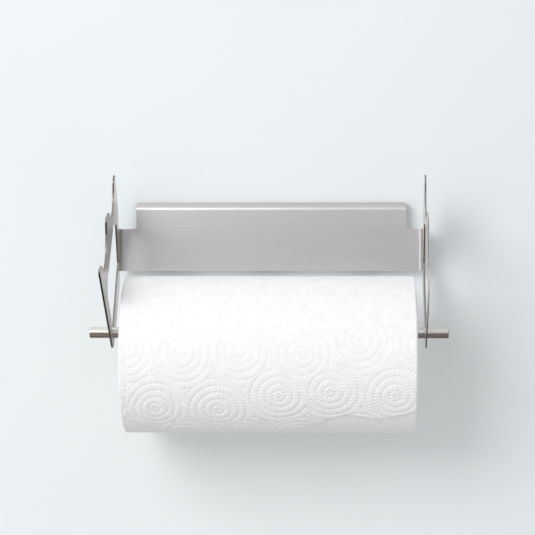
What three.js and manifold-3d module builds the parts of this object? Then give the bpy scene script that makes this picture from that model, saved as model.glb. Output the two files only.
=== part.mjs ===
// Magnetic wall holder for kitchen paper: a folded stainless sheet bracket, a loose rod and a roll of paper.
// Millimetres, +Z up. The wall is the plane Y = 0 and the holder stands in front of it, towards -Y.
// The origin is the middle of the centre magnet's wall face.
import * as THREE from "three";
import { mergeVertices } from "three/addons/utils/BufferGeometryUtils.js";
import Module from "manifold-3d";

const wasm = await Module();
wasm.setup();

// Fits and roundness
const GAP = 0.3; // between pieces that touch
const SEAT_CLEARANCE = 0.4; // radial, between the rod and its seat
const SHARP = 0.05; // radius of a corner that is as good as sharp
const RING_EDGE = 0.2; // eased edges of the magnets' rings and the core
const ARC_STEPS = 6; // pairs of straight steps in each rounded corner
const ROUND_STEPS = 40; // straight steps round a turned piece

// Paper roll, hanging by its core's inner top on the rod
const ROLL_LENGTH = 222;
const ROLL_RADIUS = 60.2;
const ROLL_EDGE = 1.6; // softened outer edges
const ROLL_SHIFT = 1; // where it hangs in its side play
const CORE_BORE = 21.25;
const CORE_WALL = 1;

// Rod
const ROD_RADIUS = 4.3;
const ROD_OVERHANG = 16; // past each arm
const ROD_CHAMFER = 0.6;
const ROD_DROP = 47.4; // panel's lower edge down to the rod's axis

// Folded bracket
const SHEET = 1.5; // sheet thickness
const BEND_RADIUS = 3; // inside of the two folds
const ROLL_PLAY = 9.5; // beside each end of a centred roll
const ROLL_WALL_SPACE = 5.8; // between the roll and the wall
const PANEL_STANDOFF = 10; // wall to the panel's front face
const PANEL_BELOW_ORIGIN = 24; // panel's lower edge under the centre magnet's middle
const SHOULDER_HEIGHT = 33.5; // height of the panel at its ends
const SHOULDER_LENGTH = 12.8; // arm's inner face to the raised middle part
const RAISED_HEIGHT = 55; // lower edge to the top of the rolled edge
const ROLLED_RADIUS = 5.1; // inside of the rolled top edge
const ROLLED_END_CLEARANCE = 1; // rolled edge to the wall
const BLANK_CORNER = 2; // rounding of the sheet's corners
const FOLD_RELIEF = 1; // rounding where an arm leaves its fold

// Arm outline: forward from the panel's front face, up from the panel's lower edge
const TOP_HORN = { tip: [37, 75.6], nose: [44.5, 69.8], overhang: 3.4 };
const MIDDLE_HORN = { tip: [77.6, 44.6], nose: [93.6, 38.8], overhang: 2.6 };
const FRONT_NOSE_FORWARD = 138;
const FRONT_TIP_FROM_NOSE = [-15, 4];
const TOP_HORN_BACK = [16, 48, 40]; // corner and radius of its slightly hollow back
const TOP_HORN_FOOT = [12, 4]; // forward, and radius, where its back meets the shoulder's height
const MIDDLE_NECK = [11, 8]; // below the nose, and radius
const VALLEY_RADIUS = 19.5; // the two rounded valleys between the horns
const VALLEY_RISE = 0.38; // slope of a valley's floor up to the next horn's tip
const TIP_RADIUS = 2.2;
const NOSE_RADIUS = 3;
const FRONT_NOSE_RADIUS = 2;
const LOWER_EDGE_ANGLE = THREE.MathUtils.degToRad(34.6); // front lower edge, above level
const SEAT_COVER_FRONT = 7.4; // rod's axis to the front lower edge
const SEAT_COVER_REAR = 15.7; // rod's axis to the rear lower edge
const REAR_CORNER = [11.2, 6]; // below the panel's lower edge, and radius
const BOTTOM_RADIUS = 8;

// Arm opening
const BAND = 13; // width of metal under the opening's front lower side
const OPENING_TOP = 36.6;
const OPENING_TOP_SPAN = [26.8, 47.2];
const OPENING_REAR_UP = 6.3; // height of the opening's rear corner
const REAR_SIDE_ANGLE = THREE.MathUtils.degToRad(36); // opening's rear lower side, off upright
const FRONT_SIDE_ANGLE = THREE.MathUtils.degToRad(43); // opening's front upper side, off upright
const OPENING_RADII = { top: 6, rear: 5, front: 12, seatLip: 3 };

// Pot magnets in rubber jackets, screwed on studs that are welded to the panel's back
const MAGNET_NAMES = ["left", "centre", "right"];
const MAGNET_INSET = 29.7; // outer magnets' middles from the raised part's ends
const JACKET_RADIUS = 21.5;
const JACKET_WALL = 1.3;
const JACKET_FACE = 0.8;
const JACKET_LIP = 0.7;
const JACKET_LIP_REACH = 4.5;
const JACKET_EDGE = 0.8; // rounding of the jacket's outer edges
const POT_PLATE = 1.6;
const POT_WALL = 2.9;
const RING_HEIGHT = 2;
const RING_BORE = 5;
const BOSS_RADIUS = 4.5;
const STUD_RADIUS = 2;

// Where the pieces sit
const UP = new THREE.Vector3(0, 0, 1);
const innerWidth = ROLL_LENGTH + 2 * ROLL_PLAY;
const outerWidth = innerWidth + 2 * SHEET;
const flatWidth = innerWidth - 2 * BEND_RADIUS;
const raisedWidth = innerWidth - 2 * SHOULDER_LENGTH;
const rodLength = outerWidth + 2 * ROD_OVERHANG;
const panelFront = -PANEL_STANDOFF;
const rodY = -ROLL_RADIUS - ROLL_WALL_SPACE;
const rodZ = -PANEL_BELOW_ORIGIN - ROD_DROP;
const rodSeat = { forward: panelFront - rodY, up: -ROD_DROP };
const rollZ = rodZ + ROD_RADIUS + GAP - CORE_BORE;
const magnetPitch = raisedWidth / 2 - MAGNET_INSET;

const stainless = new THREE.MeshStandardMaterial({
  name: "brushed_stainless",
  color: 0xb9bbba,
  roughness: 0.35,
  metalness: 1,
});
const rubber = new THREE.MeshStandardMaterial({
  name: "black_rubber",
  color: 0x232426,
  roughness: 0.85,
  metalness: 0,
});
const nickel = new THREE.MeshStandardMaterial({
  name: "nickel_plate",
  color: 0xc9c7c0,
  roughness: 0.25,
  metalness: 1,
});
const paper = new THREE.MeshStandardMaterial({
  name: "white_paper",
  color: 0xf4f4f2,
  roughness: 0.95,
  metalness: 0,
});
const board = new THREE.MeshStandardMaterial({
  name: "grey_board",
  color: 0xb8ab98,
  roughness: 0.95,
  metalness: 0,
});

// A closed outline through corners given as [x, y, radius], each rounded by an arc that touches both sides.
function roundedOutline(corners) {
  const outline = new THREE.Shape();
  corners.forEach(([x, y, radius], i) => {
    const corner = new THREE.Vector2(x, y);
    const [beforeX, beforeY] = corners.at(i - 1);
    const [afterX, afterY] = corners[(i + 1) % corners.length];
    const back = new THREE.Vector2(beforeX, beforeY).sub(corner).normalize();
    const on = new THREE.Vector2(afterX, afterY).sub(corner).normalize();
    const half = Math.acos(THREE.MathUtils.clamp(back.dot(on), -1, 1)) / 2;
    const towardsCentre = back.clone().add(on).normalize();
    const centre = corner.clone().addScaledVector(towardsCentre, radius / Math.sin(half));
    const reach = radius / Math.tan(half);
    const start = corner.clone().addScaledVector(back, reach).sub(centre);
    const end = corner.clone().addScaledVector(on, reach).sub(centre);
    outline.absarc(centre.x, centre.y, radius, start.angle(), end.angle(), back.cross(on) > 0);
  });
  return outline;
}

function solidOf(geometry) {
  geometry.deleteAttribute("normal");
  geometry.deleteAttribute("uv");
  const merged = mergeVertices(geometry, 1e-4);
  const vertProperties = merged.attributes.position.array;
  const triVerts = new Uint32Array(merged.index.array);
  return new wasm.Manifold(new wasm.Mesh({ numProp: 3, vertProperties, triVerts }));
}

function geometryOf(solid) {
  const mesh = solid.getMesh();
  const geometry = new THREE.BufferGeometry();
  geometry.setAttribute("position", new THREE.BufferAttribute(mesh.vertProperties, 3));
  geometry.setIndex(new THREE.BufferAttribute(mesh.triVerts, 1));
  return geometry;
}

// A flat outline given a depth along its own normal.
function slab(outline, depth) {
  const settings = { depth, bevelEnabled: false, curveSegments: ARC_STEPS };
  return new THREE.ExtrudeGeometry(outline, settings);
}

// An outline in (forward, up) becomes a slab across the holder's width, centred on X = 0.
function sideSlab(outline, width) {
  const place = new THREE.Matrix4().makeBasis(
    new THREE.Vector3(0, -1, 0),
    UP,
    new THREE.Vector3(-1, 0, 0),
  );
  place.setPosition(width / 2, panelFront, -PANEL_BELOW_ORIGIN);
  return solidOf(slab(outline, width).applyMatrix4(place));
}

// An outline in (across, up) becomes a slab from the wall forwards.
function frontSlab(outline, depth) {
  const place = new THREE.Matrix4().makeBasis(
    new THREE.Vector3(1, 0, 0),
    UP,
    new THREE.Vector3(0, -1, 0),
  );
  place.setPosition(0, 0, -PANEL_BELOW_ORIGIN);
  return solidOf(slab(outline, depth).applyMatrix4(place));
}

// An outline in (across, Y) becomes an upright slab between two heights above the panel's lower edge.
function planSlab(outline, low, high) {
  const geometry = slab(outline, high - low);
  return solidOf(geometry.translate(0, 0, low - PANEL_BELOW_ORIGIN));
}

// Where the line from one point at a slope meets the line from another at another slope.
function meeting([x1, y1], slope1, [x2, y2], slope2) {
  const x = (y2 - y1 + slope1 * x1 - slope2 * x2) / (slope1 - slope2);
  return [x, y1 + slope1 * (x - x1)];
}

// Height of the arm's front lower edge, raised squarely by a band's width.
function lowerEdge(forward, band = 0) {
  const rise = Math.tan(LOWER_EDGE_ANGLE) * (forward - rodSeat.forward);
  return rodSeat.up + rise + (band - SEAT_COVER_FRONT) / Math.cos(LOWER_EDGE_ANGLE);
}

// Slope of the line from a point that passes below the rod's axis at a distance.
function slopeBelowRod([forward, up], distance) {
  const reach = [rodSeat.forward - forward, rodSeat.up - up];
  const dip = Math.asin(distance / Math.hypot(...reach));
  return Math.tan(Math.atan2(reach[1], reach[0]) - dip);
}

// The corner of a valley below a horn's nose, where its upright side would meet its floor.
function valleyCorner({ nose, overhang }, [tipForward, tipUp]) {
  const forward = nose[0] - overhang;
  return [forward, tipUp - VALLEY_RISE * (tipForward - forward), VALLEY_RADIUS];
}

// The outline of an arm: three upturned horns in front, two straight lower edges and a rounded bottom.
function armOutline() {
  const nose = [FRONT_NOSE_FORWARD, lowerEdge(FRONT_NOSE_FORWARD)];
  const tip = [nose[0] + FRONT_TIP_FROM_NOSE[0], nose[1] + FRONT_TIP_FROM_NOSE[1]];
  const [rearDrop, rearRadius] = REAR_CORNER;
  const rear = [BEND_RADIUS, -rearDrop];
  const rearSlope = slopeBelowRod(rear, SEAT_COVER_REAR);
  const bottom = meeting(nose, Math.tan(LOWER_EDGE_ANGLE), rear, rearSlope);
  const [neckDrop, neckRadius] = MIDDLE_NECK;
  const neckForward = MIDDLE_HORN.nose[0] - MIDDLE_HORN.overhang;
  const [footForward, footRadius] = TOP_HORN_FOOT;
  const behind = -2 * SHEET;
  return roundedOutline([
    [behind, 0, SHARP],
    [BEND_RADIUS, 0, FOLD_RELIEF],
    [...rear, rearRadius],
    [...bottom, BOTTOM_RADIUS],
    [...nose, FRONT_NOSE_RADIUS],
    [...tip, TIP_RADIUS],
    valleyCorner(MIDDLE_HORN, tip),
    [neckForward, MIDDLE_HORN.nose[1] - neckDrop, neckRadius],
    [...MIDDLE_HORN.nose, NOSE_RADIUS],
    [...MIDDLE_HORN.tip, TIP_RADIUS],
    valleyCorner(TOP_HORN, MIDDLE_HORN.tip),
    [...TOP_HORN.nose, NOSE_RADIUS],
    [...TOP_HORN.tip, TIP_RADIUS],
    TOP_HORN_BACK,
    [footForward, SHOULDER_HEIGHT, footRadius],
    [behind, SHOULDER_HEIGHT, SHARP],
  ]);
}

// The outline of an arm's opening: a rounded kite that narrows at the bottom to the rod's round seat.
function openingOutline() {
  const seatRadius = ROD_RADIUS + SEAT_CLEARANCE;
  const seatFront = rodSeat.forward + seatRadius;
  const seatCorner = [seatFront, rodSeat.up - seatRadius / Math.tan(REAR_SIDE_ANGLE / 2)];
  const rearForward = seatFront - (OPENING_REAR_UP - seatCorner[1]) * Math.tan(REAR_SIDE_ANGLE);
  const lip = [seatFront, lowerEdge(seatFront, BAND)];
  const [topRear, topFront] = OPENING_TOP_SPAN;
  const frontSlope = -1 / Math.tan(FRONT_SIDE_ANGLE);
  const front = meeting([topFront, OPENING_TOP], frontSlope, lip, Math.tan(LOWER_EDGE_ANGLE));
  return roundedOutline([
    [...seatCorner, seatRadius],
    [...lip, OPENING_RADII.seatLip],
    [...front, OPENING_RADII.front],
    [topFront, OPENING_TOP, OPENING_RADII.top],
    [topRear, OPENING_TOP, OPENING_RADII.top],
    [rearForward, OPENING_REAR_UP, OPENING_RADII.rear],
  ]);
}

// The sheet's section seen from above: an arm, a fold, the panel, a fold and the other arm.
function channelSection() {
  const outer = outerWidth / 2;
  const inner = innerWidth / 2;
  const front = panelFront - FRONT_NOSE_FORWARD - SHEET;
  const section = new THREE.Shape();
  const foldX = flatWidth / 2;
  const foldY = panelFront - BEND_RADIUS;
  section.moveTo(outer, front);
  section.absarc(foldX, foldY, BEND_RADIUS + SHEET, 0, Math.PI / 2, false);
  section.absarc(-foldX, foldY, BEND_RADIUS + SHEET, Math.PI / 2, Math.PI, false);
  section.lineTo(-outer, front);
  section.lineTo(-inner, front);
  section.absarc(-foldX, foldY, BEND_RADIUS, Math.PI, Math.PI / 2, true);
  section.absarc(foldX, foldY, BEND_RADIUS, Math.PI / 2, 0, true);
  section.lineTo(inner, front);
  return section;
}

// The panel's section seen from the side, in (forward, up): flat, then rolled back towards the wall.
function panelSection() {
  const outer = ROLLED_RADIUS + SHEET;
  const bendUp = RAISED_HEIGHT - outer;
  const end = ROLLED_END_CLEARANCE - PANEL_STANDOFF;
  const section = new THREE.Shape();
  section.moveTo(-SHEET, 0);
  section.lineTo(0, 0);
  section.absarc(-outer, bendUp, outer, 0, Math.PI / 2, false);
  section.lineTo(end, RAISED_HEIGHT);
  section.lineTo(end, RAISED_HEIGHT - SHEET);
  section.absarc(-outer, bendUp, ROLLED_RADIUS, Math.PI / 2, 0, true);
  return section;
}

// The panel seen from the front: low shoulders at the ends and a raised middle with rounded corners.
function panelOutline() {
  const end = flatWidth / 2;
  const raised = raisedWidth / 2;
  return roundedOutline([
    [-end, 0, SHARP],
    [end, 0, SHARP],
    [end, SHOULDER_HEIGHT, SHARP],
    [raised, SHOULDER_HEIGHT, BLANK_CORNER],
    [raised, RAISED_HEIGHT, BLANK_CORNER],
    [-raised, RAISED_HEIGHT, BLANK_CORNER],
    [-raised, SHOULDER_HEIGHT, BLANK_CORNER],
    [-end, SHOULDER_HEIGHT, SHARP],
  ]);
}

function bracket() {
  const top = TOP_HORN.tip[1] + SHEET;
  const bottom = -ROD_DROP - 2 * SEAT_COVER_REAR;
  const channel = planSlab(channelSection(), bottom, top);
  const arms = channel.intersect(sideSlab(armOutline(), outerWidth + SHEET));
  const sheet = sideSlab(panelSection(), flatWidth);
  const panel = sheet.intersect(frontSlab(panelOutline(), PANEL_STANDOFF + SHEET));
  const openings = sideSlab(openingOutline(), outerWidth + SHEET);
  return geometryOf(arms.add(panel).subtract(openings));
}

// A turned piece from its (radius, height) profile, standing along +Z.
function turned(profile, steps = ROUND_STEPS) {
  const points = profile.map(([radius, height]) => new THREE.Vector2(radius, height));
  return new THREE.LatheGeometry(points, steps).rotateX(Math.PI / 2);
}

// The profile of a plain ring, closed on itself, with its outer edges rounded.
function ringProfile(bore, radius, length, edge) {
  const half = length / 2;
  const lower = new THREE.Path().absarc(radius - edge, edge - half, edge, -Math.PI / 2, 0, false);
  const corner = lower.getPoints(2).map(({ x, y }) => [x, y]);
  const upper = corner.map(([x, y]) => [x, -y]).reverse();
  return [[bore, -half], ...corner, ...upper, [bore, half], [bore, -half]];
}

function rod() {
  const half = rodLength / 2;
  const inner = ROD_RADIUS - ROD_CHAMFER;
  return turned([
    [0, -half],
    [inner, -half],
    [ROD_RADIUS, ROD_CHAMFER - half],
    [ROD_RADIUS, half - ROD_CHAMFER],
    [inner, half],
    [0, half],
  ]);
}

function rubberJacket() {
  const height = JACKET_FACE + 2 * GAP + RING_HEIGHT + POT_PLATE + JACKET_LIP + GAP;
  const inner = JACKET_RADIUS - JACKET_WALL;
  const mouth = JACKET_RADIUS - JACKET_LIP_REACH;
  return turned([
    [0, 0],
    [JACKET_RADIUS - JACKET_EDGE, 0],
    [JACKET_RADIUS, JACKET_EDGE],
    [JACKET_RADIUS, height - JACKET_EDGE],
    [JACKET_RADIUS - JACKET_EDGE, height],
    [mouth, height],
    [mouth, height - JACKET_LIP],
    [inner, height - JACKET_LIP],
    [inner, JACKET_FACE],
    [0, JACKET_FACE],
  ]);
}

// Heights from the wall through the magnet, which its pieces share.
const potFace = JACKET_FACE + GAP;
const potPlate = potFace + RING_HEIGHT + GAP;
const potBack = potPlate + POT_PLATE;
const potRadius = JACKET_RADIUS - JACKET_WALL - GAP;
const studEnd = PANEL_STANDOFF - SHEET - GAP;

function magnetPot() {
  const bore = STUD_RADIUS + GAP;
  return turned([
    [bore, potPlate],
    [potRadius - POT_WALL, potPlate],
    [potRadius - POT_WALL, potFace],
    [potRadius, potFace],
    [potRadius, potBack],
    [BOSS_RADIUS, potBack],
    [BOSS_RADIUS, studEnd],
    [bore, studEnd],
    [bore, potPlate],
  ]);
}

function magnetRing() {
  const outer = potRadius - POT_WALL - GAP;
  const middle = potFace + RING_HEIGHT / 2;
  return turned(ringProfile(RING_BORE, outer, RING_HEIGHT, RING_EDGE)).translate(0, 0, middle);
}

function weldStud() {
  return turned([
    [0, potPlate],
    [STUD_RADIUS, potPlate],
    [STUD_RADIUS, studEnd],
    [0, studEnd],
  ], ROUND_STEPS / 2);
}

function paperRoll() {
  const bore = CORE_BORE + CORE_WALL + GAP;
  return turned(ringProfile(bore, ROLL_RADIUS, ROLL_LENGTH, ROLL_EDGE), 2 * ROUND_STEPS);
}

function coreTube() {
  return turned(ringProfile(CORE_BORE, CORE_BORE + CORE_WALL, ROLL_LENGTH, RING_EDGE));
}

function part(name, geometry, material) {
  const mesh = new THREE.Mesh(geometry, material);
  mesh.name = name;
  return mesh;
}

// A turned piece's own +Z laid along the holder's width.
function across(mesh, x, y, z) {
  mesh.rotation.y = Math.PI / 2;
  mesh.position.set(x, y, z);
  return mesh;
}

const holder = new THREE.Group();
holder.add(part("bracket", bracket(), stainless));

// A magnet's own +Z runs from the wall out to the panel.
MAGNET_NAMES.forEach((side, i) => {
  const magnet = new THREE.Group();
  magnet.add(
    part(`rubber_jacket_${side}`, rubberJacket(), rubber),
    part(`magnet_pot_${side}`, magnetPot(), nickel),
    part(`magnet_ring_${side}`, magnetRing(), nickel),
    part(`weld_stud_${side}`, weldStud(), stainless),
  );
  magnet.rotation.x = Math.PI / 2;
  magnet.position.x = (i - 1) * magnetPitch;
  holder.add(magnet);
});

holder.add(
  across(part("rod", rod(), stainless), 0, rodY, rodZ),
  across(part("paper_roll", paperRoll(), paper), ROLL_SHIFT, rodY, rollZ),
  across(part("core_tube", coreTube(), board), ROLL_SHIFT, rodY, rollZ),
);

export default holder;
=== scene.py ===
"""Magnetic wall holder for kitchen paper.

A folded stainless bracket, a loose rod and a roll of embossed paper. Metres, +Z up. The wall is
the plane Y = 0 and the holder stands in front of it, towards -Y.
"""

import math

import bmesh
import bpy
import numpy as np
from mathutils import Matrix, Vector, noise


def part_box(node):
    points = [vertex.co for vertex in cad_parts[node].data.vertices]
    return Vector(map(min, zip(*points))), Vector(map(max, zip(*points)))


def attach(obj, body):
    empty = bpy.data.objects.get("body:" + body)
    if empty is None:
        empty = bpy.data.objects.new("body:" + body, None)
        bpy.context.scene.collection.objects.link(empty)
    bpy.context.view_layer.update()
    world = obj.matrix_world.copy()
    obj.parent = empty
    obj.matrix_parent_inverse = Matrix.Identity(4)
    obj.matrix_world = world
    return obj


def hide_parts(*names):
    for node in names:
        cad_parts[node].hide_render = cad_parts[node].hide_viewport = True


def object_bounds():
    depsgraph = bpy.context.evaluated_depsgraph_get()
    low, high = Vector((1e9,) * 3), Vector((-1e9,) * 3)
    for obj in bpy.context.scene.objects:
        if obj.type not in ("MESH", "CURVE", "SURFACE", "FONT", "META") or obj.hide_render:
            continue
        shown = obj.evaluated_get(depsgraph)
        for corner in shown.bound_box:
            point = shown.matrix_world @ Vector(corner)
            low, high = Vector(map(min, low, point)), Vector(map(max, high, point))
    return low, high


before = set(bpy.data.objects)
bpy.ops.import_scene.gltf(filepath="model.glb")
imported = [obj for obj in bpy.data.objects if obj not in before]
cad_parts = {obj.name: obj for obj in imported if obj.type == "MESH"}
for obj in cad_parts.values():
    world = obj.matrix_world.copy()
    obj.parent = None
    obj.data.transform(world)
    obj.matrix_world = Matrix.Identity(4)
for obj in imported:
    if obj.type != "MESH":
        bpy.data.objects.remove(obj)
cad_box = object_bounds()

MM = 0.001

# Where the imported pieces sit
roll_low, roll_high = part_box("paper_roll")
rod_low, rod_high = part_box("rod")
core_low, core_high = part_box("core_tube")
bracket_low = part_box("bracket")[0]
roll_middle = (roll_low + roll_high) / 2
rod_middle = (rod_low + rod_high) / 2
ROLL_RADIUS = (roll_high.z - roll_low.z) / 2
ROD_RADIUS = (rod_high.z - rod_low.z) / 2
CORE_RADIUS = (core_high.z - core_low.z) / 2

# Bracket sheet, as folded
SHEET = 1.5 * MM
PANEL_FRONT = -10 * MM
FOLD_X = 117.5 * MM  # where the panel's flat ends
FOLD_Y = -13 * MM  # where an arm's flat begins
ROLLED_OUTER = 6.6 * MM  # the rolled-back top edge, outside radius
ROLLED_CENTRE_Y = PANEL_FRONT + ROLLED_OUTER
ROLLED_CENTRE_Z = bracket_low.z + 107.75 * MM
ROLLED_END_Y = -2 * MM  # the rolled edge's cut end lies behind this
EDGE_BREAK = 0.14 * MM  # how far the deburred edges are broken
SAME_CORNER = 0.06 * MM  # packed corners this close are one
FLAT_WITHIN = math.radians(1.2)  # packed facets that turn less than this are one flat
SHARP_OVER = math.radians(40)  # folds are softer than this, cut edges sharper

# Rod, in mm
ROD_END_ROUNDING = 0.7
TURNING_CENTRE = 0.5  # radius and depth of the mark in each end

# Paper web, in mm. Up the web is away from its torn end.
HALF_LENGTH = (roll_high.x - roll_low.x) / 2 / MM
RADIUS = ROLL_RADIUS / MM
TURN = 2 * math.pi * RADIUS  # length of one turn of paper
SHEETS_A_TURN = 3
SHEET_LENGTH = TURN / SHEETS_A_TURN  # from one perforation to the next
LAST_TURN_DROP = 0.42  # the turn below lies this much deeper
UNDER_DROP = 0.6  # and as much again as leaves room for the dimples above it
UNDER_DROP_RUN = 20  # the length of web over which it sinks by that
TAIL_ANGLE = math.radians(-68)  # where the paper ends, from the roll's front, below level
OVERLAP = 108  # how far the turn below runs on under the end, which shows it at the left
GRID_STEP = 0.53
STANDS_PROUD = 0.18  # the web above the roll's radius, before its dimples are pressed in
SWELL, SMALL_SWELL = 0.14, 0.07  # slack in the whole web
TORN_RUN = 90  # the length of web over which the grid evens out from the torn end
TAIL_LIFT, TAIL_LIFT_RUN = 0.5, 7  # the torn end stands off, less and less up the web
EDGE_INSET = 0.3  # the front sheet's left edge lies inside the turn below
EDGE_TUCK, TUCK_AT, TUCK_RUN = 6, 55, 30  # and is drawn in further here
EDGE_ROUNDING = 1.6  # the roll's outer corners
SIDE_TURN_DOWN, TAIL_TURN_DOWN = 0.5, 0.32  # rims turned down, which gives a sheet its thickness
SLIT_DEPTH, SLIT_WIDTH = 0.16, 0.5  # perforations
BRIDGE = 0.35  # the paper left between two slits sinks by this much of a slit's depth
DIMPLE_PAINTED_SHADE = 0.08  # how far a dimple's floor is painted grey, as painted shade in the recess
LAYER_PITCH = 0.75  # a turn is 0.37 mm thick, and every other one is drawn so that it shows
WINDINGS_GAP, CORE_GAP = 0.45, 0.3  # clear of the turn above, and of the board
WINDINGS_ROUNDING = 1.3
END_RING_STEP = 0.5  # how finely the ends are divided
BOARD = 1  # thickness of the core's wall
CRUSHED = 0.6  # how far in from its ends the board is dented

# Embossing, in mm: medallions of dotted rings, in two rows that repeat up the web. A row gives
# its medallions' places along the roll and up the web.
RING_FIRST, RING_STEP = 4.55, 5.7
CORE_RING = 1.6  # the few dots in a medallion's middle
DOT_STEP = 2.85
DOT_RADIUS = 0.8
DOT_EDGE = 1.3  # above 1 a dot has a flatter floor and steeper sides
DOT_DEPTH = 0.56
VALLEY_DEPTH = 0.08
MEDALLION_REACH = 60
REPEAT = 81.5
ROW_A = [(-131, 19), (-86.1, 15.9), (-37.5, 14), (8.7, 26.9), (46.3, 30.6), (95, 27.1), (138, 23)]
ROW_B = [(-109, 65), (-64.5, 60), (-20.5, 61.5), (24.8, 59.5), (67.8, 70), (115, 67)]
FIRST_ROW = 14.7  # added to every row
TIGHT_RELIEF, LOOSE_RELIEF = 0.52, 0.98  # relief left where wound tight, and more where loose
LOOSE_TO, LOOSE_RUN = 20, 45

ACROSS = Matrix.Rotation(math.pi / 2, 4, "Y")  # lays a piece's own +Z along +X
FORWARD = Matrix.Rotation(math.pi / 2, 4, "X")  # points a piece's own +Z to the front


# ---------------------------------------------------------------- materials


def linear(colour):
    """An sRGB hex colour as linear red, green, blue and alpha."""
    channels = [int(colour[i : i + 2], 16) / 255 for i in (1, 3, 5)]
    bent = [c / 12.92 if c <= 0.04045 else ((c + 0.055) / 1.055) ** 2.4 for c in channels]
    return (*bent, 1.0)


def add(tree, kind, settings=(), links=()):
    """Adds a node, gives it its settings, links its inputs, and returns it.

    A setting named by a word is the node's own property if it has one, else an input's value.
    "stops" are a colour ramp's (place, hex colour) pairs."""
    node = tree.nodes.new("ShaderNode" + kind)
    for key, value in dict(settings).items():
        if key == "stops":
            elements = node.color_ramp.elements
            while len(elements) < len(value):
                elements.new(0.5)
            for element, (place, colour) in zip(elements, value):
                element.position = place
                element.color = linear(colour)
        elif isinstance(key, str) and hasattr(node, key):
            setattr(node, key, value)
        else:
            node.inputs[key].default_value = value
    for key, source in dict(links).items():
        tree.links.new(source, node.inputs[key])
    return node


def new_material(name):
    """A material with no nodes yet, and its node tree."""
    material = bpy.data.materials.new(name)
    material.use_nodes = True
    material.node_tree.nodes.clear()
    return material, material.node_tree


def mapped(tree, source, scale, centre=(0, 0, 0)):
    """Coordinates scaled about a centre."""
    place = [-by * at for by, at in zip(scale, centre)]
    coordinates = add(tree, "TexCoord").outputs[source]
    settings = {"Location": place, "Scale": scale}
    return add(tree, "Mapping", settings, {"Vector": coordinates}).outputs["Vector"]


def brushed_stainless():
    """304 stainless with a number 4 belt finish.

    Long fine streaks along the sheet's length spread a reflection across them, and handling has
    left a faint cloudiness."""
    material, tree = new_material("brushed_stainless_sheet")
    # Belt streaks are 0.05 to 0.2 mm wide and some 60 mm long. The coarse set is 0.9 mm, so that
    # it shows.
    fine = add(
        tree,
        "TexNoise",
        {"Scale": 1.0, "Detail": 3.0, "Roughness": 0.7},
        {"Vector": mapped(tree, "UV", (22, 5200, 1))},
    ).outputs[0]
    coarse = add(
        tree,
        "TexNoise",
        {"Scale": 1.0, "Detail": 4.0, "Roughness": 0.6},
        {"Vector": mapped(tree, "UV", (9, 1100, 1))},
    ).outputs[0]
    clouds = add(
        tree,
        "TexNoise",
        {"Scale": 1.0, "Detail": 2.0},
        {"Vector": mapped(tree, "UV", (28, 60, 1))},
    ).outputs[0]
    settings = {"data_type": "FLOAT", "Factor": 0.45}
    streaks = add(tree, "Mix", settings, {2: coarse, 3: fine}).outputs[0]
    stops = [(0.3, "#CECCCC"), (0.5, "#D5D3D3"), (0.7, "#DAD9D9")]
    tint = add(tree, "ValToRGB", {"stops": stops}, {"Fac": streaks}).outputs["Color"]
    settings = {"data_type": "FLOAT", "Factor": 0.5}
    worn = add(tree, "Mix", settings, {2: streaks, 3: clouds}).outputs[0]
    settings = {"To Min": 0.24, "To Max": 0.35}
    rough = add(tree, "MapRange", settings, {"Value": worn}).outputs["Result"]
    settings = {"Strength": 0.06, "Distance": 0.02 * MM}
    bump = add(tree, "Bump", settings, {"Height": streaks}).outputs["Normal"]
    settings = {"direction_type": "UV_MAP", "uv_map": "grain"}
    tangent = add(tree, "Tangent", settings).outputs[0]
    metal = add(
        tree,
        "BsdfPrincipled",
        {"Metallic": 1.0, "Anisotropic": 0.55},
        {"Base Color": tint, "Roughness": rough, "Normal": bump, "Tangent": tangent},
    )
    add(tree, "OutputMaterial", links={"Surface": metal.outputs["BSDF"]})
    return material


def laser_cut_edge():
    """The sheet's cut edge.

    The beam leaves fine ribs across the thickness, and a duller, warmer grey than the brushed
    faces. The grey is painted darker still: painted shade for the dark surroundings the edges
    reflect."""
    material, tree = new_material("laser_cut_stainless_edge")
    # Ribs stand 0.25 mm apart. They run along X on the arms' edges, so they vary with Y and Z.
    ribs = add(
        tree,
        "TexNoise",
        {"Scale": 1.0, "Detail": 2.0, "Roughness": 0.5},
        {"Vector": mapped(tree, "Object", (120, 3600, 3600))},
    ).outputs[0]
    # Partly painted shade: these greys are darker than the cut edge's own oxide, to stand in for
    # the dark surroundings that its down-facing faces reflect.
    stops = [(0.3, "#827D77"), (0.7, "#AEA9A2")]
    tint = add(tree, "ValToRGB", {"stops": stops}, {"Fac": ribs}).outputs["Color"]
    settings = {"To Min": 0.14, "To Max": 0.28}
    rough = add(tree, "MapRange", settings, {"Value": ribs}).outputs["Result"]
    settings = {"Strength": 0.12, "Distance": 0.02 * MM}
    bump = add(tree, "Bump", settings, {"Height": ribs}).outputs["Normal"]
    metal = add(
        tree,
        "BsdfPrincipled",
        {"Metallic": 1.0},
        {"Base Color": tint, "Roughness": rough, "Normal": bump},
    )
    add(tree, "OutputMaterial", links={"Surface": metal.outputs["BSDF"]})
    return material


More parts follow.
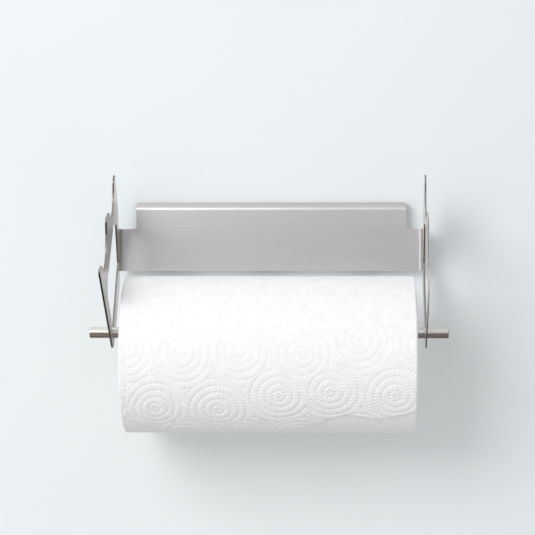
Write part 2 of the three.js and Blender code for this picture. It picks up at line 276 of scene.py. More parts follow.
def polished_bar():
    """Centreless-ground stainless bar.

    It is nearly a mirror, with hair-fine lines round it and a few handling marks along it."""
    material, tree = new_material("polished_stainless_bar")
    # Grinding lines are 0.1 mm apart. The coarse set is 1.2 mm, so that it shows.
    fine = add(
        tree,
        "TexNoise",
        {"Scale": 1.0, "Detail": 3.0, "Roughness": 0.6},
        {"Vector": mapped(tree, "Object", (8000, 90, 90), rod_middle)},
    ).outputs[0]
    coarse = add(
        tree,
        "TexNoise",
        {"Scale": 1.0, "Detail": 2.0},
        {"Vector": mapped(tree, "Object", (800, 40, 40), rod_middle)},
    ).outputs[0]
    marks = add(
        tree,
        "TexNoise",
        {"Scale": 1.0, "Detail": 2.0},
        {"Vector": mapped(tree, "Object", (35, 700, 700), rod_middle)},
    ).outputs[0]
    settings = {"data_type": "FLOAT", "Factor": 0.5}
    lines = add(tree, "Mix", settings, {2: coarse, 3: fine}).outputs[0]
    stops = [(0.35, "#DAD7D3"), (0.65, "#ECEAE6")]
    tint = add(tree, "ValToRGB", {"stops": stops}, {"Fac": marks}).outputs["Color"]
    settings = {"To Min": 0.12, "To Max": 0.3}
    rough = add(tree, "MapRange", settings, {"Value": lines}).outputs["Result"]
    settings = {"Strength": 0.1, "Distance": 0.01 * MM}
    bump = add(tree, "Bump", settings, {"Height": lines}).outputs["Normal"]
    metal = add(
        tree,
        "BsdfPrincipled",
        {"Metallic": 1.0},
        {"Base Color": tint, "Roughness": rough, "Normal": bump},
    )
    add(tree, "OutputMaterial", links={"Surface": metal.outputs["BSDF"]})
    return material


def embossed_tissue():
    """Two-ply bleached tissue.

    It is matt and soft white, with a fine crepe and a haze of short fibres."""
    material, tree = new_material("embossed_kitchen_tissue")
    # Crepe folds are 0.4 mm apart and run along the roll. Fibres are about 0.1 mm thick.
    crepe = add(
        tree,
        "TexNoise",
        {"Scale": 1.0, "Detail": 3.0, "Roughness": 0.65},
        {"Vector": mapped(tree, "UV", (420, 2400, 1))},
    ).outputs[0]
    fibres = add(
        tree,
        "TexNoise",
        {"Scale": 1.0, "Detail": 4.0, "Roughness": 0.7},
        {"Vector": mapped(tree, "UV", (3200, 5200, 1))},
    ).outputs[0]
    formation = add(
        tree,
        "TexNoise",
        {"Scale": 1.0, "Detail": 3.0},
        {"Vector": mapped(tree, "UV", (130, 130, 1))},
    ).outputs[0]
    stops = [(0.3, "#EFEFF0"), (0.7, "#F5F5F5")]
    pulp = add(tree, "ValToRGB", {"stops": stops}, {"Fac": formation}).outputs["Color"]
    #     The dimples' floors, pressed thin, are painted a little greyer, as painted shade in the
    #     recesses.
    pressed = add(tree, "Attribute", {"attribute_name": "pressed"}).outputs["Fac"]
    settings = {"data_type": "RGBA", 7: linear("#D9DADD")}
    tint = add(tree, "Mix", settings, {0: pressed, 6: pulp}).outputs[2]
    settings = {"data_type": "FLOAT", "Factor": 0.5}
    height = add(tree, "Mix", settings, {2: crepe, 3: fibres}).outputs[0]
    settings = {"Strength": 0.55, "Distance": 0.12 * MM}
    bump = add(tree, "Bump", settings, {"Height": height}).outputs["Normal"]
    settings = {"To Min": 0.86, "To Max": 0.97}
    rough = add(tree, "MapRange", settings, {"Value": fibres}).outputs["Result"]
    paper = add(
        tree,
        "BsdfPrincipled",
        {"Specular IOR Level": 0.2, "Sheen Weight": 0.08, "Sheen Roughness": 0.6},
        {"Base Color": tint, "Roughness": rough, "Normal": bump},
    )
    add(tree, "OutputMaterial", links={"Surface": paper.outputs["BSDF"]})
    return material


def wound_tissue():
    """The roll's ends.

    The edges of a hundred turns of soft paper show as fine uneven rings, with the grey gaps between
    them painted in as painted shade."""
    material, tree = new_material("wound_tissue_layers")
    centred = mapped(tree, "Object", (1, 1, 1), roll_middle)
    parts = add(tree, "SeparateXYZ", links={"Vector": centred}).outputs
    settings = {"operation": "MULTIPLY"}
    squares = [
        add(tree, "Math", settings, {0: parts[axis], 1: parts[axis]}).outputs[0]
        for axis in ("Y", "Z")
    ]
    summed = add(tree, "Math", {"operation": "ADD"}, dict(enumerate(squares))).outputs[0]
    radius = add(tree, "Math", {"operation": "SQRT"}, {0: summed}).outputs[0]
    settings = {"operation": "ARCTAN2"}
    angle = add(tree, "Math", settings, {0: parts["Z"], 1: parts["Y"]}).outputs[0]
    wobble = add(
        tree,
        "TexNoise",
        {"Scale": 1.0, "Detail": 2.0},
        {"Vector": mapped(tree, "Object", (70, 70, 70), roll_middle)},
    ).outputs[0]
    settings = {"operation": "MULTIPLY_ADD", 1: 1 / (LAYER_PITCH * MM)}
    turns = add(tree, "Math", settings, {0: radius, 2: wobble}).outputs[0]
    settings = {"operation": "MULTIPLY_ADD", 1: 1 / (2 * math.pi)}
    wound = add(tree, "Math", settings, {0: angle, 2: turns}).outputs[0]
    wave = add(tree, "Math", {"operation": "PINGPONG", 1: 0.5}, {0: wound}).outputs[0]
    fuzz = add(
        tree,
        "TexNoise",
        {"Scale": 1.0, "Detail": 4.0, "Roughness": 0.7},
        {"Vector": mapped(tree, "Object", (1600, 1600, 1600))},
    ).outputs[0]
    settings = {"operation": "MULTIPLY_ADD", 1: 0.3}
    layers = add(tree, "Math", settings, {0: fuzz, 2: wave}).outputs[0]
    # Painted shade: the grey at the ramp's low end is shade painted into the gaps between the
    # turns.
    stops = [(0.08, "#CBCAC8"), (0.3, "#EDEDEB"), (0.6, "#F7F7F6")]
    tint = add(tree, "ValToRGB", {"stops": stops}, {"Fac": layers}).outputs["Color"]
    settings = {"Strength": 0.6, "Distance": 0.3 * MM}
    bump = add(tree, "Bump", settings, {"Height": layers}).outputs["Normal"]
    paper = add(
        tree,
        "BsdfPrincipled",
        {"Roughness": 0.95, "Specular IOR Level": 0.2},
        {"Base Color": tint, "Normal": bump},
    )
    add(tree, "OutputMaterial", links={"Surface": paper.outputs["BSDF"]})
    return material


def core_board():
    """Spiral-wound grey board from recycled pulp.

    It is a dull, flecked grey-brown, and the butt of each strip shows as a thin dark helix."""
    material, tree = new_material("spiral_wound_grey_board")
    centred = mapped(tree, "Object", (1, 1, 1), roll_middle)
    parts = add(tree, "SeparateXYZ", links={"Vector": centred}).outputs
    settings = {"operation": "ARCTAN2"}
    angle = add(tree, "Math", settings, {0: parts["Z"], 1: parts["Y"]}).outputs[0]
    settings = {"operation": "MULTIPLY", 1: 1 / (2 * math.pi)}
    turned_by = add(tree, "Math", settings, {0: angle}).outputs[0]
    # The strips are 75 mm wide and one turn of the helix moves on by 88 mm.
    settings = {"operation": "MULTIPLY_ADD", 1: 1 / (88 * MM)}
    along = add(tree, "Math", settings, {0: parts["X"], 2: turned_by}).outputs[0]
    seam = add(tree, "Math", {"operation": "PINGPONG", 1: 0.5}, {0: along}).outputs[0]
    stops = [(0.0, "#000000"), (0.008, "#FFFFFF")]
    groove = add(tree, "ValToRGB", {"stops": stops}, {"Fac": seam}).outputs["Color"]
    pulp = add(
        tree,
        "TexNoise",
        {"Scale": 1.0, "Detail": 5.0, "Roughness": 0.75},
        {"Vector": mapped(tree, "Object", (900, 900, 900))},
    ).outputs[0]
    stops = [(0.3, "#A08F7B"), (0.5, "#BBAD9A"), (0.68, "#CCC0AF")]
    flecked = add(tree, "ValToRGB", {"stops": stops}, {"Fac": pulp}).outputs["Color"]
    settings = {"data_type": "RGBA", "blend_type": "MULTIPLY", "Factor": 0.45}
    tint = add(tree, "Mix", settings, {6: flecked, 7: groove}).outputs[2]
    settings = {"Strength": 0.4, "Distance": 0.1 * MM}
    bump = add(tree, "Bump", settings, {"Height": pulp}).outputs["Normal"]
    links = {"Base Color": tint, "Normal": bump}
    board = add(tree, "BsdfPrincipled", {"Roughness": 0.92}, links)
    add(tree, "OutputMaterial", links={"Surface": board.outputs["BSDF"]})
    return material


def moulded_rubber():
    """Natural rubber, moulded and dusted.

    It is nearly black and matt, with a pebbled grip texture and pale handling dust."""
    material, tree = new_material("moulded_black_rubber")
    pebbles = add(
        tree,
        "TexVoronoi",
        {"Scale": 1.0},
        {"Vector": mapped(tree, "Object", (1400, 1400, 1400))},
    ).outputs["Distance"]
    dust = add(
        tree,
        "TexNoise",
        {"Scale": 1.0, "Detail": 5.0, "Roughness": 0.7},
        {"Vector": mapped(tree, "Object", (160, 160, 160))},
    ).outputs[0]
    stops = [(0.35, "#1E1F20"), (0.6, "#2A2B2C"), (0.78, "#3B3C3D")]
    tint = add(tree, "ValToRGB", {"stops": stops}, {"Fac": dust}).outputs["Color"]
    settings = {"To Min": 0.62, "To Max": 0.86}
    rough = add(tree, "MapRange", settings, {"Value": dust}).outputs["Result"]
    settings = {"Strength": 0.35, "Distance": 0.08 * MM}
    bump = add(tree, "Bump", settings, {"Height": pebbles}).outputs["Normal"]
    rubber = add(
        tree,
        "BsdfPrincipled",
        {"Specular IOR Level": 0.35},
        {"Base Color": tint, "Roughness": rough, "Normal": bump},
    )
    add(tree, "OutputMaterial", links={"Surface": rubber.outputs["BSDF"]})
    return material


def plated_steel(name, light, dark, least_rough, most_rough):
    """Plated steel: a thin bright skin, whose fine mottling is the plating's crystal grain."""
    material, tree = new_material(name)
    grain = add(
        tree,
        "TexNoise",
        {"Scale": 1.0, "Detail": 4.0, "Roughness": 0.65},
        {"Vector": mapped(tree, "Object", (900, 900, 900))},
    ).outputs[0]
    blooms = add(
        tree,
        "TexNoise",
        {"Scale": 1.0, "Detail": 2.0},
        {"Vector": mapped(tree, "Object", (150, 150, 150))},
    ).outputs[0]
    stops = [(0.35, dark), (0.65, light)]
    tint = add(tree, "ValToRGB", {"stops": stops}, {"Fac": blooms}).outputs["Color"]
    settings = {"To Min": least_rough, "To Max": most_rough}
    rough = add(tree, "MapRange", settings, {"Value": grain}).outputs["Result"]
    settings = {"Strength": 0.08, "Distance": 0.02 * MM}
    bump = add(tree, "Bump", settings, {"Height": grain}).outputs["Normal"]
    metal = add(
        tree,
        "BsdfPrincipled",
        {"Metallic": 1.0},
        {"Base Color": tint, "Roughness": rough, "Normal": bump},
    )
    add(tree, "OutputMaterial", links={"Surface": metal.outputs["BSDF"]})
    return material


# ---------------------------------------------------------------- shaping


def show(name, bm, body, materials, replaced=()):
    """Makes a piece of a finished bmesh, and says what it rides on and stands for."""
    mesh = bpy.data.meshes.new(name)
    bm.to_mesh(mesh)
    bm.free()
    for material in materials:
        mesh.materials.append(material)
    mesh.shade_smooth()
    piece = bpy.data.objects.new(name, mesh)
    bpy.context.scene.collection.objects.link(piece)
    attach(piece, body)
    if replaced:
        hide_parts(*replaced)
    return piece


def keep_flats_flat(piece, angle):
    """Edges sharper than the angle stay crisp, and big flat faces keep their own normal."""
    mesh = piece.data
    mesh.set_sharp_from_angle(angle=angle)
    weigh = piece.modifiers.new("weigh_normals", "WEIGHTED_NORMAL")
    weigh.mode = "FACE_AREA"
    weigh.weight = 100
    weigh.keep_sharp = True


def rounded(corners, steps=4):
    """A turned profile, in mm, through (radius, height, rounding) corners.

    Each rounding is drawn as an arc of so many steps."""
    points = []
    for i, (r, h, rounding) in enumerate(corners):
        corner = Vector((r, h))
        if not rounding:
            points.append(corner)
            continue
        before = (Vector(corners[i - 1][:2]) - corner).normalized()
        after = (Vector(corners[(i + 1) % len(corners)][:2]) - corner).normalized()
        half = before.angle(after) / 2
        centre = corner + (before + after).normalized() * (rounding / math.sin(half))
        start = corner + before * (rounding / math.tan(half)) - centre
        end = corner + after * (rounding / math.tan(half)) - centre
        for step in range(steps + 1):
            arm = start.lerp(end, step / steps).normalized() * rounding
            points.append(centre + arm)
    return [(p.x, p.y) for p in points]


def turn(profile, steps):
    """Spins a (radius, height) profile in mm about Z into a closed solid in metres.

    A profile that starts on the axis ends on it too. Any other is a closed loop."""
    bm = bmesh.new()
    verts = [bm.verts.new((r * MM, 0, h * MM)) for r, h in profile]
    is_loop = profile[0][0] > 0
    ends = zip(verts, verts[1:] + verts[:1]) if is_loop else zip(verts, verts[1:])
    edges = [bm.edges.new(pair) for pair in ends]
    bmesh.ops.spin(
        bm,
        geom=verts + edges,
        cent=(0, 0, 0),
        axis=(0, 0, 1),
        dvec=(0, 0, 0),
        angle=2 * math.pi,
        steps=steps,
        use_merge=True,
        use_duplicate=False,
    )
    bmesh.ops.remove_doubles(bm, verts=bm.verts, dist=0.001 * MM)
    bmesh.ops.recalc_face_normals(bm, faces=bm.faces)
    return bm


def lay(bm, turning, place):
    """Turns a standing piece and moves it to its place."""
    bmesh.ops.transform(bm, matrix=Matrix.Translation(place) @ turning, verts=bm.verts)
    return bm


# ---------------------------------------------------------------- bracket


def sheet_place(point):
    """Where a point of the folded sheet lay on the flat one: along the brushing, and across."""
    along = point.x - math.copysign(point.y, point.x)
    across = point.z
    over_bend = point.z - ROLLED_CENTRE_Z
    if abs(point.x) < FOLD_X and over_bend > 0 and point.y > PANEL_FRONT - SHEET:
        behind = point.y - ROLLED_CENTRE_Y
        bent = math.atan2(over_bend, -behind) if behind < 0 else math.pi / 2
        across = ROLLED_CENTRE_Z + ROLLED_OUTER * bent + max(behind, 0)
    return along, across


def is_cut_edge(face):
    """Whether a face lies across the sheet's thickness."""
    place, normal = face.calc_center_median(), face.normal
    if abs(place.x) > FOLD_X:
        return abs(normal.x) < 0.5 if place.y < FOLD_Y else abs(normal.z) > 0.5
    if place.z > ROLLED_CENTRE_Z:
        return abs(normal.x) > 0.5 or (normal.y > 0.7 and place.y > ROLLED_END_Y)
    return abs(normal.y) < 0.5


def make_bracket():
    """The folded sheet, with its edges broken, its grain laid out flat and its cut edges told
    apart."""
    bm = bmesh.new()
    bm.from_mesh(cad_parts["bracket"].data)
    bmesh.ops.remove_doubles(bm, verts=bm.verts, dist=SAME_CORNER)
    bmesh.ops.dissolve_degenerate(bm, edges=bm.edges, dist=0.01 * MM)
    bmesh.ops.dissolve_limit(
        bm,
        angle_limit=FLAT_WITHIN,
        use_dissolve_boundaries=False,
        verts=bm.verts,
        edges=bm.edges,
        delimit=set(),
    )
    inner_edges = [edge for edge in bm.edges if len(edge.link_faces) == 2]
    bmesh.ops.bevel(
        bm,
        geom=[edge for edge in inner_edges if edge.calc_face_angle(0) > SHARP_OVER],
        offset=EDGE_BREAK,
        offset_type="OFFSET",
        affect="EDGES",
        segments=2,
        profile=0.5,
        clamp_overlap=True,
        material=-1,
    )
    bmesh.ops.triangulate(bm, faces=[face for face in bm.faces if len(face.verts) > 4])
    bm.normal_update()
    grain = bm.loops.layers.uv.new("grain")
    for face in bm.faces:
        face.material_index = int(is_cut_edge(face))
        for loop in face.loops:
            loop[grain].uv = sheet_place(loop.vert.co)
    materials = [brushed_stainless(), laser_cut_edge()]
    piece = show("folded_bracket", bm, "bracket", materials, ["bracket"])
    keep_flats_flat(piece, math.radians(60))


# ---------------------------------------------------------------- rod


def make_rod():
    """Round bar with softly rounded ends, each faced flat with a small turning centre."""
    radius, half = ROD_RADIUS / MM, (rod_high.x - rod_low.x) / 2 / MM
    end = [
        (0, -half + TURNING_CENTRE, 0),
        (TURNING_CENTRE, -half, 0.1),
        (radius, -half, ROD_END_ROUNDING),
    ]
    corners = end + [(r, -h, rounding) for r, h, rounding in reversed(end)]
    bm = lay(turn(rounded(corners, 6), 96), ACROSS, rod_middle)
    piece = show("rod_bar", bm, "rod", [polished_bar()], ["rod"])
    keep_flats_flat(piece, math.radians(50))


# ---------------------------------------------------------------- paper


def medallions(low, high):
    """Middles of all medallions that reach a stretch of the web."""
    first = math.floor((low - MEDALLION_REACH) / REPEAT) - 1
    last = math.ceil((high + MEDALLION_REACH) / REPEAT)
    middles = [
        (x, up + FIRST_ROW + repeat * REPEAT)
        for repeat in range(first, last + 1)
        for x, up in ROW_A + ROW_B
    ]
    return [m for m in middles if low - MEDALLION_REACH < m[1] < high + MEDALLION_REACH]


def embossing(x, up):
    """How far a place on the web is pressed in, in mm, and how much of a dot it is, 0 to 1."""
    nearest = np.full(len(x), 1e9)
    middle_x, middle_up = np.zeros(len(x)), np.zeros(len(x))
    for mx, mup in medallions(up.min(), up.max()):
        far = np.hypot(x - mx, up - mup)
        closer = far < nearest
        nearest[closer] = far[closer]
        middle_x[closer], middle_up[closer] = mx, mup
    ring = np.maximum(np.round((nearest - RING_FIRST) / RING_STEP), -1)
    ring_radius = np.maximum(RING_FIRST + ring * RING_STEP, CORE_RING)
    angle = np.arctan2(up - middle_up, x - middle_x)
    dots = np.round(2 * np.pi * ring_radius / DOT_STEP)
    dot_angle = np.round(angle * dots / (2 * np.pi)) * 2 * np.pi / dots
    off_ring = nearest - ring_radius
    off_dot = ring_radius * (angle - dot_angle)
    dot = np.exp(-(((off_ring**2 + off_dot**2) / DOT_RADIUS**2) ** DOT_EDGE))
    valley = 0.5 + 0.5 * np.cos(2 * np.pi * off_ring / RING_STEP)
    # Wound tight, the relief is pressed flatter. It springs up again towards the loose end.
    loose = np.exp(-((np.maximum(up - LOOSE_TO, 0) / LOOSE_RUN) ** 2))
    spring = TIGHT_RELIEF + LOOSE_RELIEF * loose
    return (DOT_DEPTH * dot + VALLEY_DEPTH * valley) * spring, dot


def edge_softening(x):
    """How far the roll's outer corners fall away near its ends."""
    into = np.clip(EDGE_ROUNDING - (HALF_LENGTH - np.abs(x)), 0, EDGE_ROUNDING)
    return EDGE_ROUNDING - np.sqrt(np.maximum(EDGE_ROUNDING**2 - into**2, 0))


def tail_shift(x):
    """How far up the web the paper ends: torn unevenly, higher at both sides, most at the right."""
    along = (-112, -104, -97, -88, -30, 24, 30, 37, 45, 57, 75, 92, 112)
    torn = (20, 16, 10, 4, 0, 1, 4, 11, 19, 24, 20, 20, 28)
    rise = np.mean([np.interp(x + step, along, torn) for step in (-3, -1.5, 0, 1.5, 3)], axis=0)
    return rise + 0.5 * np.sin(x * 0.21) + 0.16 * np.sin(x * 2.9 + 1)


def make_paper_sheet(name, low, high, tissue):
    """A stretch of the web, from low to high up it, as a fine grid bent round the roll.

    The first stretch has the torn end."""
    first = low == 0
    across, up_steps = int(2 * HALF_LENGTH / GRID_STEP), int((high - low) / GRID_STEP)
    bm = bmesh.new()
    bmesh.ops.create_grid(bm, x_segments=across, y_segments=up_steps, size=0.5)
    mesh = show(name, bm, "roll", [tissue]).data
    flat = np.empty(len(mesh.vertices) * 3, np.float32)
    mesh.vertices.foreach_get("co", flat)
    flat = flat.reshape(-1, 3).astype(float)
    share = (flat[:, :2] - flat[:, :2].min(0)) / np.ptp(flat[:, :2], axis=0)
    x = (share[:, 0] * 2 - 1) * HALF_LENGTH
    up = low + share[:, 1] * (high - low)
    if first:
        up = up + tail_shift(x) * np.clip(1 - up / TORN_RUN, 0, 1)
        from_tail = up - tail_shift(x)
    pressed, dot = embossing(x, up)
    # Slack: slow swells of the whole web, and quicker ones some 40 mm apart.
    swell = SWELL * np.sin(x * 0.043 + up * 0.031 + 1) * np.sin(up * 0.067 - x * 0.02)
    swell += SMALL_SWELL * np.sin(x * 0.16 - up * 0.11) * np.sin(up * 0.19 + 0.5)
    sunk = np.clip((up - TURN + UNDER_DROP_RUN) / UNDER_DROP_RUN, 0, 1)
    drop = LAST_TURN_DROP * up / TURN + UNDER_DROP * sunk
    radius = RADIUS + STANDS_PROUD - drop - pressed + swell
    if first:
        uneven = 0.6 + 0.4 * np.sin(x * 0.09 + 1)
        radius += TAIL_LIFT * np.exp(-from_tail / TAIL_LIFT_RUN) * uneven
        inset = EDGE_INSET + EDGE_TUCK * np.exp(-(((up - TUCK_AT) / TUCK_RUN) ** 2))
        x = x + inset * np.clip(-x / HALF_LENGTH, 0, 1) ** 3
    radius -= edge_softening(x)
    # Perforations: a row of short slits, 3.3 mm apart, where two sheets meet.
    is_slit = np.sin(x * 1.9) > -0.3
    for line in (low, low + SHEET_LENGTH):
        slit = np.exp(-(((up - line) / SLIT_WIDTH) ** 2)) * (BRIDGE + (1 - BRIDGE) * is_slit)
        if not (first and line == low):
            radius -= SLIT_DEPTH * slit
    rim_x = (share[:, 0] < 0.5 / across) | (share[:, 0] > 1 - 0.5 / across)
    radius[rim_x] -= SIDE_TURN_DOWN
    if first:
        radius[share[:, 1] < 0.5 / up_steps] -= TAIL_TURN_DOWN
    angle = TAIL_ANGLE + up / RADIUS
    place = np.stack([x, -radius * np.cos(angle), radius * np.sin(angle)], axis=1) * MM
    place += np.array(roll_middle)
    mesh.vertices.foreach_set("co", place.astype(np.float32).ravel())
    # Painted shade: each dimple's floor gets a grey that stands in for shade in the recess.
    dimple_shade = mesh.attributes.new("pressed", "FLOAT", "POINT")
    dimple_shade.data.foreach_set("value", (DIMPLE_PAINTED_SHADE * dot).astype(np.float32))
    web = mesh.uv_layers.new(name="web")
    corners = np.empty(len(mesh.loops), np.int32)
    mesh.loops.foreach_get("vertex_index", corners)
    on_web = np.stack([x, up], axis=1)[corners] * MM
    web.uv.foreach_set("vector", on_web.astype(np.float32).ravel())
    mesh.update()
    middle_face = mesh.polygons[len(mesh.polygons) // 2]
    from_axis = middle_face.center - roll_middle
    if Vector((0, from_axis.y, from_axis.z)).dot(middle_face.normal) < 0:
        mesh.flip_normals()


def make_paper():
    """The last turn's three sheets, and the stretch of the turn below that shows under its end."""
    tissue = embossed_tissue()
    names = ("paper_sheet_front", "paper_sheet_back", "paper_sheet_under")
    for i, name in enumerate(names):
        make_paper_sheet(name, i * SHEET_LENGTH, (i + 1) * SHEET_LENGTH, tissue)
    make_paper_sheet("paper_sheet_below", TURN, TURN + OVERLAP, tissue)


def make_windings():
    """The rest of the paper. Its ends show the turns' edges, which stand a little unevenly."""
    outer = RADIUS - LAST_TURN_DROP - UNDER_DROP - WINDINGS_GAP
    bore = CORE_RADIUS / MM + CORE_GAP
    flat_to = outer - WINDINGS_ROUNDING
    rings = int((flat_to - bore) / END_RING_STEP)
    end = [(bore + (flat_to - bore) * i / rings, HALF_LENGTH) for i in range(rings + 1)]
    arc = [
        (
            flat_to + WINDINGS_ROUNDING * math.sin(a),
            HALF_LENGTH - WINDINGS_ROUNDING + WINDINGS_ROUNDING * math.cos(a),
        )
        for a in (math.radians(15 * k) for k in range(1, 7))
    ]
    half = end + arc
    bm = turn(half + [(r, -h) for r, h in reversed(half)], 240)
    # Only the ends' inner rings move, so that the bore and the outside stay true.
    for vert in bm.verts:
        radius = math.hypot(vert.co.x, vert.co.y) / MM
        if bore + 0.1 < radius < outer - 0.05:
            angle = math.atan2(vert.co.y, vert.co.x)
            layer = radius - LAYER_PITCH * angle / (2 * math.pi)
            side = math.copysign(1, vert.co.z)
            step = noise.noise(Vector((layer * 1.7, 40 * side, 0)))
            round_end = (math.cos(angle) * 1.5 + 7 * side, math.sin(angle) * 1.5)
            wave = noise.noise(Vector((layer * 0.35, *round_end)))
            vert.co.z -= side * (0.32 + 0.3 * step + 0.25 * wave) * MM
    bm = lay(bm, ACROSS, roll_middle)
    materials = [wound_tissue()]
    show("paper_windings", bm, "roll", materials, ["paper_roll"])


def make_core():
    """The board tube, with slightly crushed, rounded ends."""
    outer, half = CORE_RADIUS / MM, (core_high.x - core_low.x) / 2 / MM
    inner = outer - BOARD
    end = [(inner, -half, 0.25), (outer, -half, 0.4)]
    corners = end + [(r, -h, rounding) for r, h, rounding in reversed(end)]
    bm = turn(rounded(corners, 3), 128)
    for vert in bm.verts:
        if abs(vert.co.z) > (half - CRUSHED) * MM:
            angle = math.atan2(vert.co.y, vert.co.x)
            dent = noise.noise(Vector((math.cos(angle) * 3, math.sin(angle) * 3, vert.co.z * 9)))
            vert.co.z -= math.copysign((0.12 + 0.18 * dent) * MM, vert.co.z)
    bm = lay(bm, ACROSS, roll_middle)
    show("core_board_tube", bm, "roll", [core_board()], ["core_tube"])


# ---------------------------------------------------------------- magnets
# Their profiles are (radius, height, rounding) corners in mm. Height 0 is the wall.


def jacket_profile():
    """Rubber cup with anti-slip rings on its wall face and a lip that holds the pot."""
    face = [(0, 0, 0)]
    for middle in (4.5, 8.5, 12.5, 16.5):
        face += [
            (middle - 0.7, 0, 0.1),
            (middle - 0.4, 0.3, 0.1),
            (middle + 0.4, 0.3, 0.1),
            (middle + 0.7, 0, 0.1),
        ]
    outside = [(21.5, 0, 0.9), (21.5, 6.0, 0.7)]
    inside = [(17.0, 6.0, 0.3), (17.0, 5.3, 0), (20.2, 5.3, 0), (20.2, 0.8, 0), (0, 0.8, 0)]
    return rounded(face + outside + inside, 3)


def pot_profile():
    """Pressed steel cup, open to the wall, with a threaded boss on its back."""
    thread = []
    for i in range(4):
        thread += [(2.3, 7.5 - i * 0.7, 0), (2.6, 7.15 - i * 0.7, 0)]
    cup = [
        (2.3, 3.4, 0),
        (17.0, 3.4, 0.2),
        (17.0, 1.1, 0.2),
        (19.9, 1.1, 0.3),
        (19.9, 5.0, 0.9),
        (4.9, 5.0, 0.5),
        (4.5, 8.2, 0.35),
        (2.6, 8.2, 0),
    ]
    return rounded(cup + thread)


def ring_profile():
    """Flat ring magnet with its edges tumbled."""
    return rounded([(5, 1.1, 0.3), (16.7, 1.1, 0.3), (16.7, 3.1, 0.3), (5, 3.1, 0.3)], 3)


def stud_profile():
    """Short threaded stud with a small flange where it is welded."""
    corners = [(0, 3.4, 0), (1.6, 3.4, 0), (1.95, 3.8, 0)]
    for i in range(5):
        corners += [(1.65, 4.1 + i * 0.7, 0), (1.98, 4.45 + i * 0.7, 0)]
    corners += [(1.98, 8.2, 0), (0, 8.2, 0)]
    return rounded(corners)


def make_magnets():
    """The three magnets' pieces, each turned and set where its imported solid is."""
    rubber = moulded_rubber()
    zinc = plated_steel("zinc_plated_steel", "#C3C6C9", "#A9ADB2", 0.28, 0.42)
    nickel = plated_steel("nickel_plated_magnet", "#CFCBC2", "#BAB6AC", 0.18, 0.32)
    kinds = [
        ("rubber_jacket", "grip_jacket", jacket_profile(), "black_rubber", rubber),
        ("magnet_pot", "pot_shell", pot_profile(), "zinc_plated_steel", zinc),
        ("magnet_ring", "ring_magnet", ring_profile(), "nickel_plated_magnet", nickel),
        ("weld_stud", "threaded_stud", stud_profile(), "zinc_plated_steel", zinc),
    ]
    for side in ("left", "centre", "right"):
        for node, piece, profile, slot, material in kinds:
            low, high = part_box(f"{node}_{side}")
            place = Vector(((low.x + high.x) / 2, 0, (low.z + high.z) / 2))
            bm = lay(turn(profile, 72), FORWARD, place)
            made = show(f"{piece}_{side}", bm, "bracket", [material], [f"{node}_{side}"])
            keep_flats_flat(made, math.radians(45))


# ---------------------------------------------------------------- room


def plane(name, width, height, place, turning, material):
    """A flat part of the room, which isn't part of the holder."""
    bm = bmesh.new()
    bmesh.ops.create_grid(bm, x_segments=8, y_segments=8, size=1)
    size = Matrix.Diagonal((width / 2, height / 2, 1, 1))
    bmesh.ops.transform(bm, matrix=Matrix.Translation(place) @ turning @ size, verts=bm.verts)
    mesh = bpy.data.meshes.new(name)
    bm.to_mesh(mesh)
    bm.free()
    mesh.materials.append(material)
    piece = bpy.data.objects.new(name, mesh)
    bpy.context.scene.collection.objects.link(piece)
    return piece


def painted_wall():
    """Matt wall paint with a faint roller mottle.

    It is seen only from the front, and metal beside it sees a plain glow in its colour, which is a
    painted reflection of the lit wall."""
    material, tree = new_material("matt_wall_paint")
    roller = add(
        tree,
        "TexNoise",
        {"Scale": 1.0, "Detail": 4.0},
        {"Vector": mapped(tree, "Object", (3, 3, 3))},
    ).outputs[0]
    stops = [(0.3, "#E4E9EA"), (0.7, "#E8ECED")]
    tint = add(tree, "ValToRGB", {"stops": stops}, {"Fac": roller}).outputs["Color"]
    paint = add(tree, "BsdfDiffuse", links={"Color": tint}).outputs[0]
    #     The glow is a painted reflection, painted dimmer towards the floor and towards the right,
    #     away from the lamp.
    coordinates = add(tree, "TexCoord").outputs["Object"]
    parts = add(tree, "SeparateXYZ", links={"Vector": coordinates}).outputs
    settings = {"From Min": -0.32, "From Max": 0.0, "To Min": 0.08, "To Max": 0.95}
    rising = add(tree, "MapRange", settings, {"Value": parts["Z"]}).outputs["Result"]
    settings = {"From Min": -0.2, "From Max": 0.2, "To Min": 1.05, "To Max": 0.78}
    leftward = add(tree, "MapRange", settings, {"Value": parts["X"]}).outputs["Result"]
    settings = {"operation": "MULTIPLY"}
    strength = add(tree, "Math", settings, {0: rising, 1: leftward}).outputs[0]
    settings = {"Color": linear("#EEF1F2")}
    # Painted light: an emission that stands in for the wall's lit reflection in the metal.
    painted_reflection_glow = add(tree, "Emission", settings, {"Strength": strength}).outputs[0]
    seen_by_metal = add(tree, "LightPath").outputs["Is Glossy Ray"]
    front = add(tree, "MixShader", links={0: seen_by_metal, 1: paint, 2: painted_reflection_glow}).outputs[0]
    unseen = add(tree, "BsdfTransparent").outputs[0]
    behind = add(tree, "NewGeometry").outputs["Backfacing"]
    both = add(tree, "MixShader", links={0: behind, 1: front, 2: unseen}).outputs[0]
    add(tree, "OutputMaterial", links={"Surface": both})
    return material


def pale_floor():
    """Matt pale floor paint with a faint mottle."""
    material, tree = new_material("matt_floor_paint")
    mottle = add(
        tree,
        "TexNoise",
        {"Scale": 1.0, "Detail": 4.0},
        {"Vector": mapped(tree, "Object", (5, 5, 5))},
    ).outputs[0]
    stops = [(0.3, "#ECEEEF"), (0.7, "#F1F2F3")]
    tint = add(tree, "ValToRGB", {"stops": stops}, {"Fac": mottle}).outputs["Color"]
    paint = add(tree, "BsdfPrincipled", {"Roughness": 0.9}, {"Base Color": tint})
    add(tree, "OutputMaterial", links={"Surface": paint.outputs["BSDF"]})
    return material


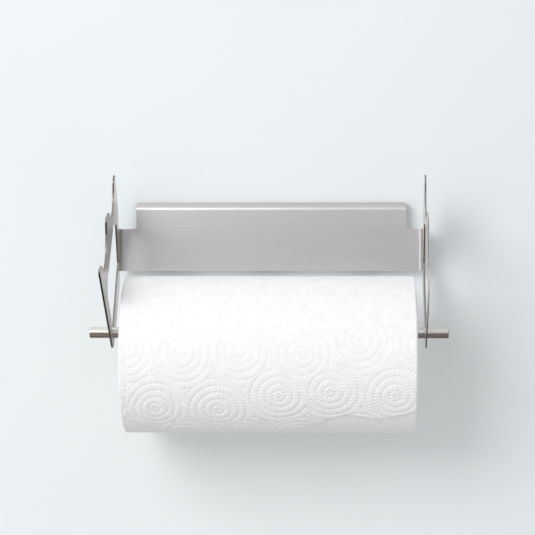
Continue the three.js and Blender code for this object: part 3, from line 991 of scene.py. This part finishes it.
def area_light(name, place, target, size, power):
    """A square soft lamp that faces its target."""
    data = bpy.data.lights.new(name, "AREA")
    data.size = size
    data.energy = power
    lamp = bpy.data.objects.new(name, data)
    bpy.context.scene.collection.objects.link(lamp)
    lamp.location = place
    lamp.rotation_euler = (Vector(target) - Vector(place)).to_track_quat("-Z", "Y").to_euler()
    return lamp


def set_world():
    """Plain pale surroundings.

    Metal sees them bright above and to the left, where the lamp is, and dim below and at the far
    right."""
    world = bpy.data.worlds.new("plain_room")
    bpy.context.scene.world = world
    world.use_nodes = True
    tree = world.node_tree
    tree.nodes.clear()
    direction = add(tree, "TexCoord").outputs["Generated"]
    parts = add(tree, "SeparateXYZ", links={"Vector": direction}).outputs
    settings = {"From Min": -1.0, "From Max": 1.0}
    height = add(tree, "MapRange", settings, {"Value": parts["Z"]}).outputs["Result"]
    across = add(tree, "MapRange", settings, {"Value": parts["X"]}).outputs["Result"]
    stops = [
        (0.0, "#7E756E"),
        (0.25, "#8C837B"),
        (0.38, "#5E564F"),
        (0.43, "#8A8580"),
        (0.48, "#E2E2E2"),
        (0.75, "#EEF0F2"),
        (1.0, "#FFFFFF"),
    ]
    from_below = add(tree, "ValToRGB", {"stops": stops}, {"Fac": height}).outputs["Color"]
    stops = [
        (0.0, "#F3F3F3"),
        (0.44, "#FFFFFF"),
        (0.53, "#E4E4E4"),
        (0.67, "#E1E1E1"),
        (0.9, "#8A8A8A"),
    ]
    from_left = add(tree, "ValToRGB", {"stops": stops}, {"Fac": across}).outputs["Color"]
    settings = {"data_type": "RGBA", "blend_type": "MULTIPLY", "Factor": 1.0}
    seen_by_metal = add(tree, "Mix", settings, {6: from_below, 7: from_left}).outputs[2]
    stops = [(0.0, "#D2CFCD"), (0.45, "#D7D8D9"), (1.0, "#DCDEE1")]
    lit = add(tree, "ValToRGB", {"stops": stops}, {"Fac": height}).outputs["Color"]
    paths = add(tree, "LightPath").outputs
    links = {0: paths["Is Glossy Ray"], 6: lit, 7: seen_by_metal}
    unseen = add(tree, "Mix", {"data_type": "RGBA"}, links).outputs[2]
    settings = {"data_type": "RGBA", 7: linear("#E6EAEE")}
    colour = add(tree, "Mix", settings, {0: paths["Is Camera Ray"], 6: unseen}).outputs[2]
    background = add(tree, "Background", {"Strength": 1.0}, {"Color": colour})
    add(tree, "OutputWorld", links={"Surface": background.outputs[0]})


def make_room():
    """Wall, floor, lamps and surroundings."""
    wall = plane("wall", 5, 4, (0, 0.6 * MM, 0), FORWARD, painted_wall())
    wall.visible_diffuse = False
    wall.visible_shadow = False
    floor = plane("floor", 24, 24, (0, 0, -0.9), Matrix.Identity(4), pale_floor())
    floor.visible_glossy = False
    floor.visible_diffuse = False
    middle = (cad_box[0] + cad_box[1]) / 2
    area_light("key_softbox", (-1.05, -1.7, 0.75), middle, 1.1, 21)
    card = area_light("front_card", (-0.5, -2.1, 0.3), middle, 0.9, 2)
    card.visible_glossy = False
    area_light("behind_fill", (0.7, 1.6, 0.7), middle, 1.2, 8)
    set_world()


def make_camera():
    """In front of the wall, 50 mm right of the holder's middle and turned a little to it."""
    data = bpy.data.cameras.new("camera")
    data.lens = 131.7
    data.sensor_width = 36
    camera = bpy.data.objects.new("camera", data)
    bpy.context.scene.collection.objects.link(camera)
    camera.location = (0.0502, -1.570, -0.0212)
    aim = Vector((-0.00180, -0.040, -0.0212)) - camera.location
    camera.rotation_euler = aim.to_track_quat("-Z", "Y").to_euler()
    bpy.context.scene.camera = camera


make_camera()
make_bracket()
make_rod()
make_paper()
make_windings()
make_core()
make_magnets()
make_room()
bpy.context.scene.view_settings.view_transform = "Standard"
